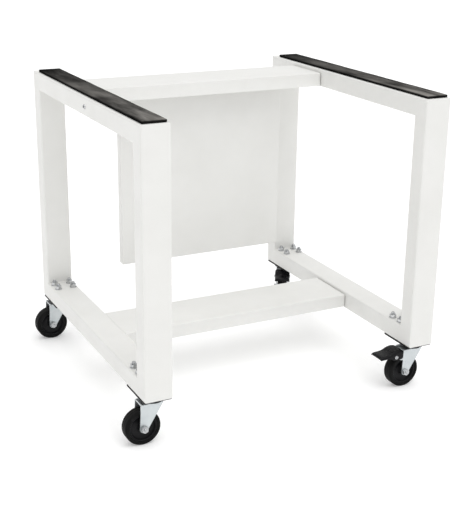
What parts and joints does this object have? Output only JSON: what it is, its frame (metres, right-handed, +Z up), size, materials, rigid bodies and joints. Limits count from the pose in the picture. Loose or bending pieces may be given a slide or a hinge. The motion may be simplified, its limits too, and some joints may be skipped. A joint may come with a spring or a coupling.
{
  "type": "large format plotter stand",
  "caption": "White steel stand on swivel castors for a large format plotter, with two end frames, cross beams, a hanging back panel and rubber support strips.",
  "frame": {"origin": "middle of the stand's outline on the floor, under the wheels", "axes": "+X to the right seen from the front, +Y to the back, +Z up"},
  "size_m": [0.7124, 0.65, 0.6512],
  "materials": {
    "frame_white": "satin white powder coat",
    "strip_rubber": "smooth dark rubber, slightly glossy",
    "zinc": "bright blue-white zinc plate",
    "fasteners": "zinc plated",
    "plate_black": "black lacquer",
    "tyre_black": "hard black rubber",
    "hub_black": "moulded",
    "lever_black": "moulded, satin"
  },
  "bodies": {
    "root": {"left_front_post": "frame_white", "left_rear_post": "frame_white", "left_top_rail": "frame_white", "left_bottom_rail": "frame_white", "left_top_strip": "strip_rubber", "right_front_post": "frame_white", "right_rear_post": "frame_white", "right_top_rail": "frame_white", "right_bottom_rail": "frame_white", "right_top_strip": "strip_rubber", "left_rail_side_screw": "fasteners", "upper_beam": "frame_white", "lower_beam": "frame_white", "back_panel": "frame_white", "upper_beam_bolt_left_front": "fasteners", "upper_beam_bolt_left_rear": "fasteners", "upper_beam_bolt_right_front": "fasteners", "upper_beam_bolt_right_rear": "fasteners", "lower_beam_bolt_left_front": "fasteners", "lower_beam_bolt_left_rear": "fasteners", "lower_beam_bolt_right_front": "fasteners", "lower_beam_bolt_right_rear": "fasteners", "front_left_castor_plate": "plate_black", "front_left_castor_bolt_1": "fasteners", "front_left_castor_bolt_2": "fasteners", "front_left_castor_bolt_3": "fasteners", "front_left_castor_bolt_4": "fasteners", "rear_left_castor_plate": "plate_black", "rear_left_castor_bolt_1": "fasteners", "rear_left_castor_bolt_2": "fasteners", "rear_left_castor_bolt_3": "fasteners", "rear_left_castor_bolt_4": "fasteners", "front_right_castor_plate": "plate_black", "front_right_castor_bolt_1": "fasteners", "front_right_castor_bolt_2": "fasteners", "front_right_castor_bolt_3": "fasteners", "front_right_castor_bolt_4": "fasteners", "rear_right_castor_plate": "plate_black", "rear_right_castor_bolt_1": "fasteners", "rear_right_castor_bolt_2": "fasteners", "rear_right_castor_bolt_3": "fasteners", "rear_right_castor_bolt_4": "fasteners"},
    "front_left_swivel": {"front_left_fork": "zinc", "front_left_axle_bolt": "fasteners"},
    "front_left_wheel": {"front_left_tyre": "tyre_black", "front_left_hub": "hub_black"},
    "front_right_swivel": {"front_right_fork": "zinc", "front_right_axle_bolt": "fasteners"},
    "front_right_wheel": {"front_right_tyre": "tyre_black", "front_right_hub": "hub_black"},
    "front_right_brake": {"front_right_brake_lever": "lever_black"},
    "rear_left_swivel": {"rear_left_fork": "zinc", "rear_left_axle_bolt": "fasteners"},
    "rear_left_wheel": {"rear_left_tyre": "tyre_black", "rear_left_hub": "hub_black"},
    "rear_right_swivel": {"rear_right_fork": "zinc", "rear_right_axle_bolt": "fasteners"},
    "rear_right_wheel": {"rear_right_tyre": "tyre_black", "rear_right_hub": "hub_black"},
    "rear_right_brake": {"rear_right_brake_lever": "lever_black"}
  },
  "joints": [
    {"name": "front_left_swivel_turn", "type": "hinge", "parent": "root", "child": "front_left_swivel", "pos_m": [-0.29375, -0.292, 0.09], "axis": [0, 0, 1], "continuous": true},
    {"name": "front_left_wheel_spin", "type": "hinge", "parent": "front_left_swivel", "child": "front_left_wheel", "pos_m": [-0.31875, -0.292, 0.0375], "axis": [0, 1, 0], "continuous": true},
    {"name": "front_right_swivel_turn", "type": "hinge", "parent": "root", "child": "front_right_swivel", "pos_m": [0.32625, -0.292, 0.09], "axis": [0, 0, 1], "continuous": true},
    {"name": "front_right_wheel_spin", "type": "hinge", "parent": "front_right_swivel", "child": "front_right_wheel", "pos_m": [0.30125, -0.292, 0.0375], "axis": [0, 1, 0], "continuous": true},
    {"name": "front_right_brake_press", "type": "hinge", "parent": "front_right_swivel", "child": "front_right_brake", "pos_m": [0.27425, -0.292, 0.077], "axis": [0, -1, 0], "range_deg": [0, 12]},
    {"name": "rear_left_swivel_turn", "type": "hinge", "parent": "root", "child": "rear_left_swivel", "pos_m": [-0.29375, 0.292, 0.09], "axis": [0, 0, 1], "continuous": true},
    {"name": "rear_left_wheel_spin", "type": "hinge", "parent": "rear_left_swivel", "child": "rear_left_wheel", "pos_m": [-0.31875, 0.292, 0.0375], "axis": [0, 1, 0], "continuous": true},
    {"name": "rear_right_swivel_turn", "type": "hinge", "parent": "root", "child": "rear_right_swivel", "pos_m": [0.32625, 0.292, 0.09], "axis": [0, 0, 1], "continuous": true},
    {"name": "rear_right_wheel_spin", "type": "hinge", "parent": "rear_right_swivel", "child": "rear_right_wheel", "pos_m": [0.31375, 0.27035, 0.0375], "axis": [-0.866, 0.5, 0], "continuous": true},
    {"name": "rear_right_brake_press", "type": "hinge", "parent": "rear_right_swivel", "child": "rear_right_brake", "pos_m": [0.30025, 0.24697, 0.077], "axis": [0.866, -0.5, 0], "range_deg": [0, 12]}
  ]
}
